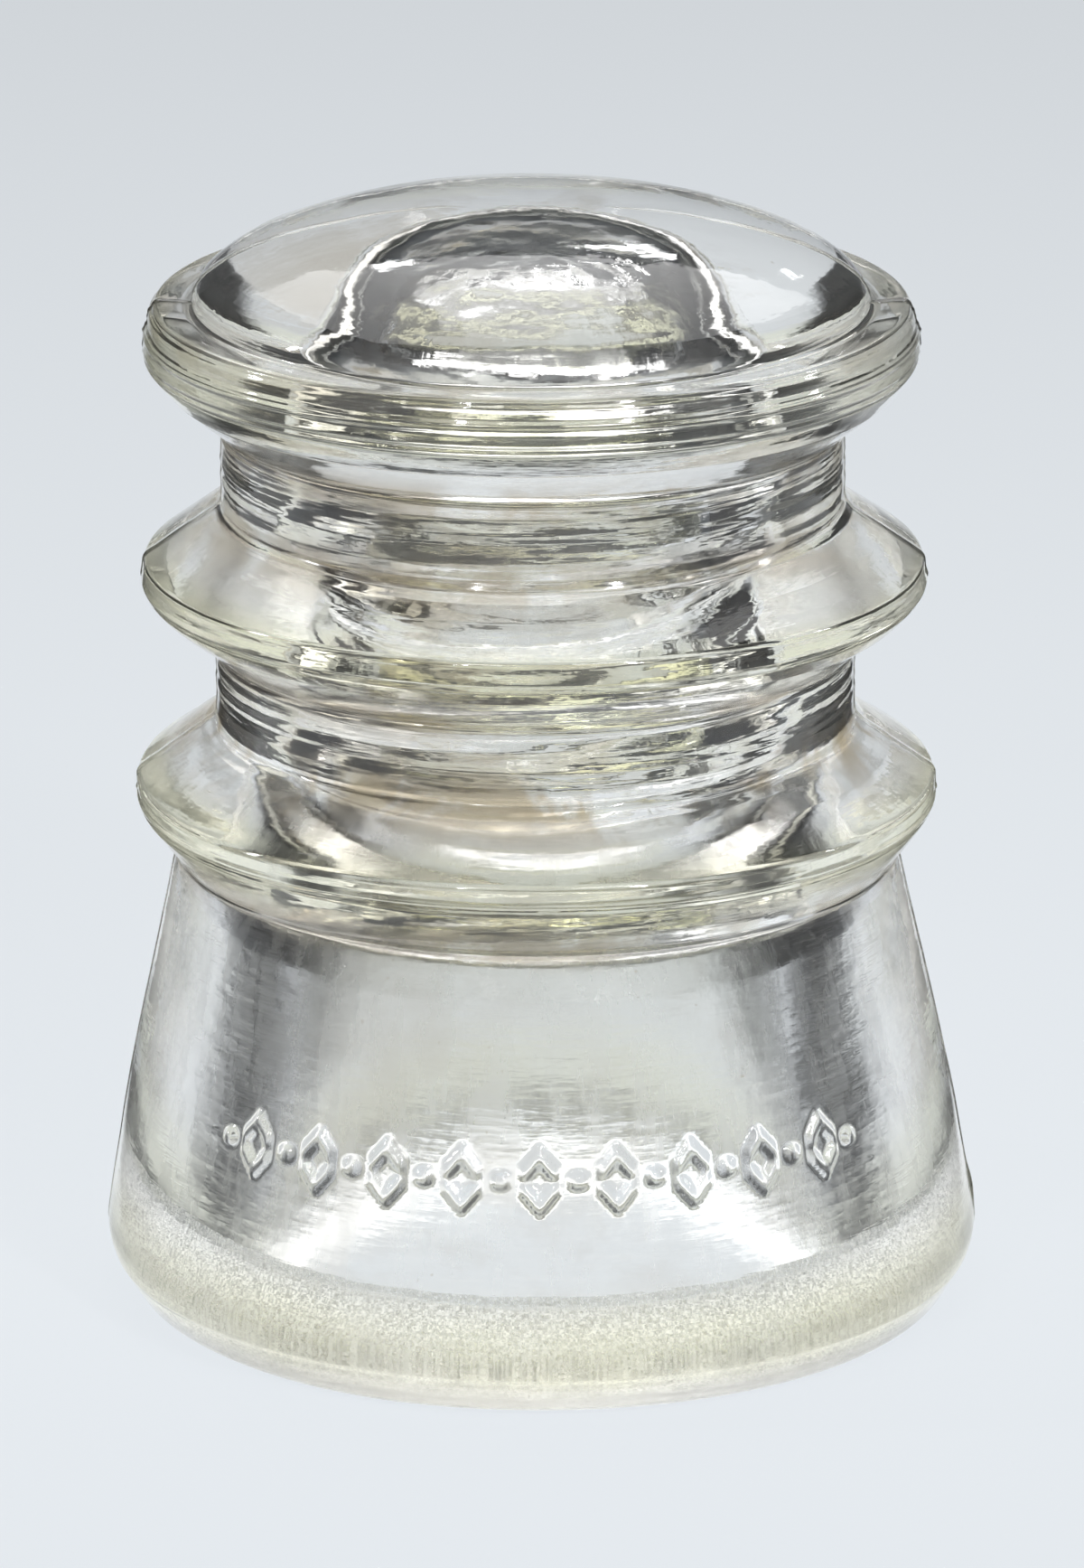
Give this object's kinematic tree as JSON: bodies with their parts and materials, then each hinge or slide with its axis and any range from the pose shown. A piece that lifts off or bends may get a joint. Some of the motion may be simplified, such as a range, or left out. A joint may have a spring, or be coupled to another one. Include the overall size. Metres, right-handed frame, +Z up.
{
  "type": "pin insulator",
  "caption": "Clear pressed-glass pin insulator: hollow skirt, threaded blind pinhole, and two wire grooves between flanges, for tying line wire on a crossarm pin.",
  "frame": {"origin": "on the axis, at the plane of the contact ring that the base stands on", "axes": "+Z up along the axis of the pinhole, towards the crown"},
  "size_m": [0.0698, 0.0698, 0.0889],
  "materials": {
    "clear_glass": "fire-polished pressed glass, faint straw tint at thick edges"
  },
  "bodies": {
    "root": {"insulator_glass_body": "clear_glass"}
  },
  "joints": []
}
